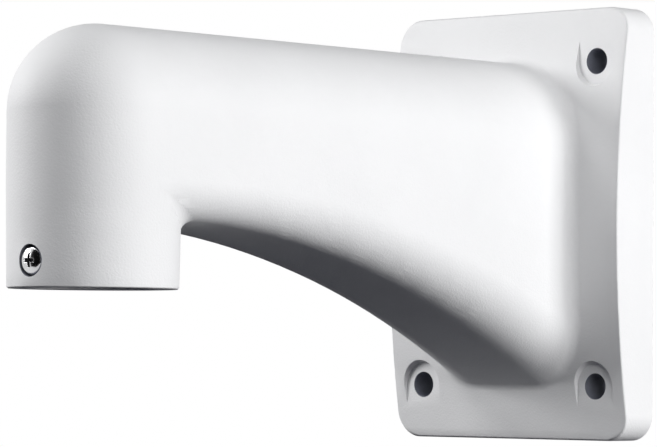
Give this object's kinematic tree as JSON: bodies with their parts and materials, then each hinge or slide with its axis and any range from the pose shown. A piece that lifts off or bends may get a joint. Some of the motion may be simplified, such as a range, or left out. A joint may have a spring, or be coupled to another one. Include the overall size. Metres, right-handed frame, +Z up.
{
  "type": "camera wall bracket",
  "caption": "Goose-neck wall bracket in one hollow casting: bowed rectangular wall plate, widening arm with an arched underside, and a round threaded socket that faces down, with a lock screw.",
  "frame": {"origin": "middle of the four wall holes, on the wall plane", "axes": "+Z up, +Y into the wall, the arm stands out towards -Y; mirror-symmetric about X = 0"},
  "size_m": [0.116, 0.2717, 0.166],
  "materials": {
    "casting": "white powder coat with a fine satin texture on cast aluminium",
    "screw": "polished stainless steel"
  },
  "bodies": {
    "root": {"bracket_casting": "casting", "lock_screw": "screw"}
  },
  "joints": []
}
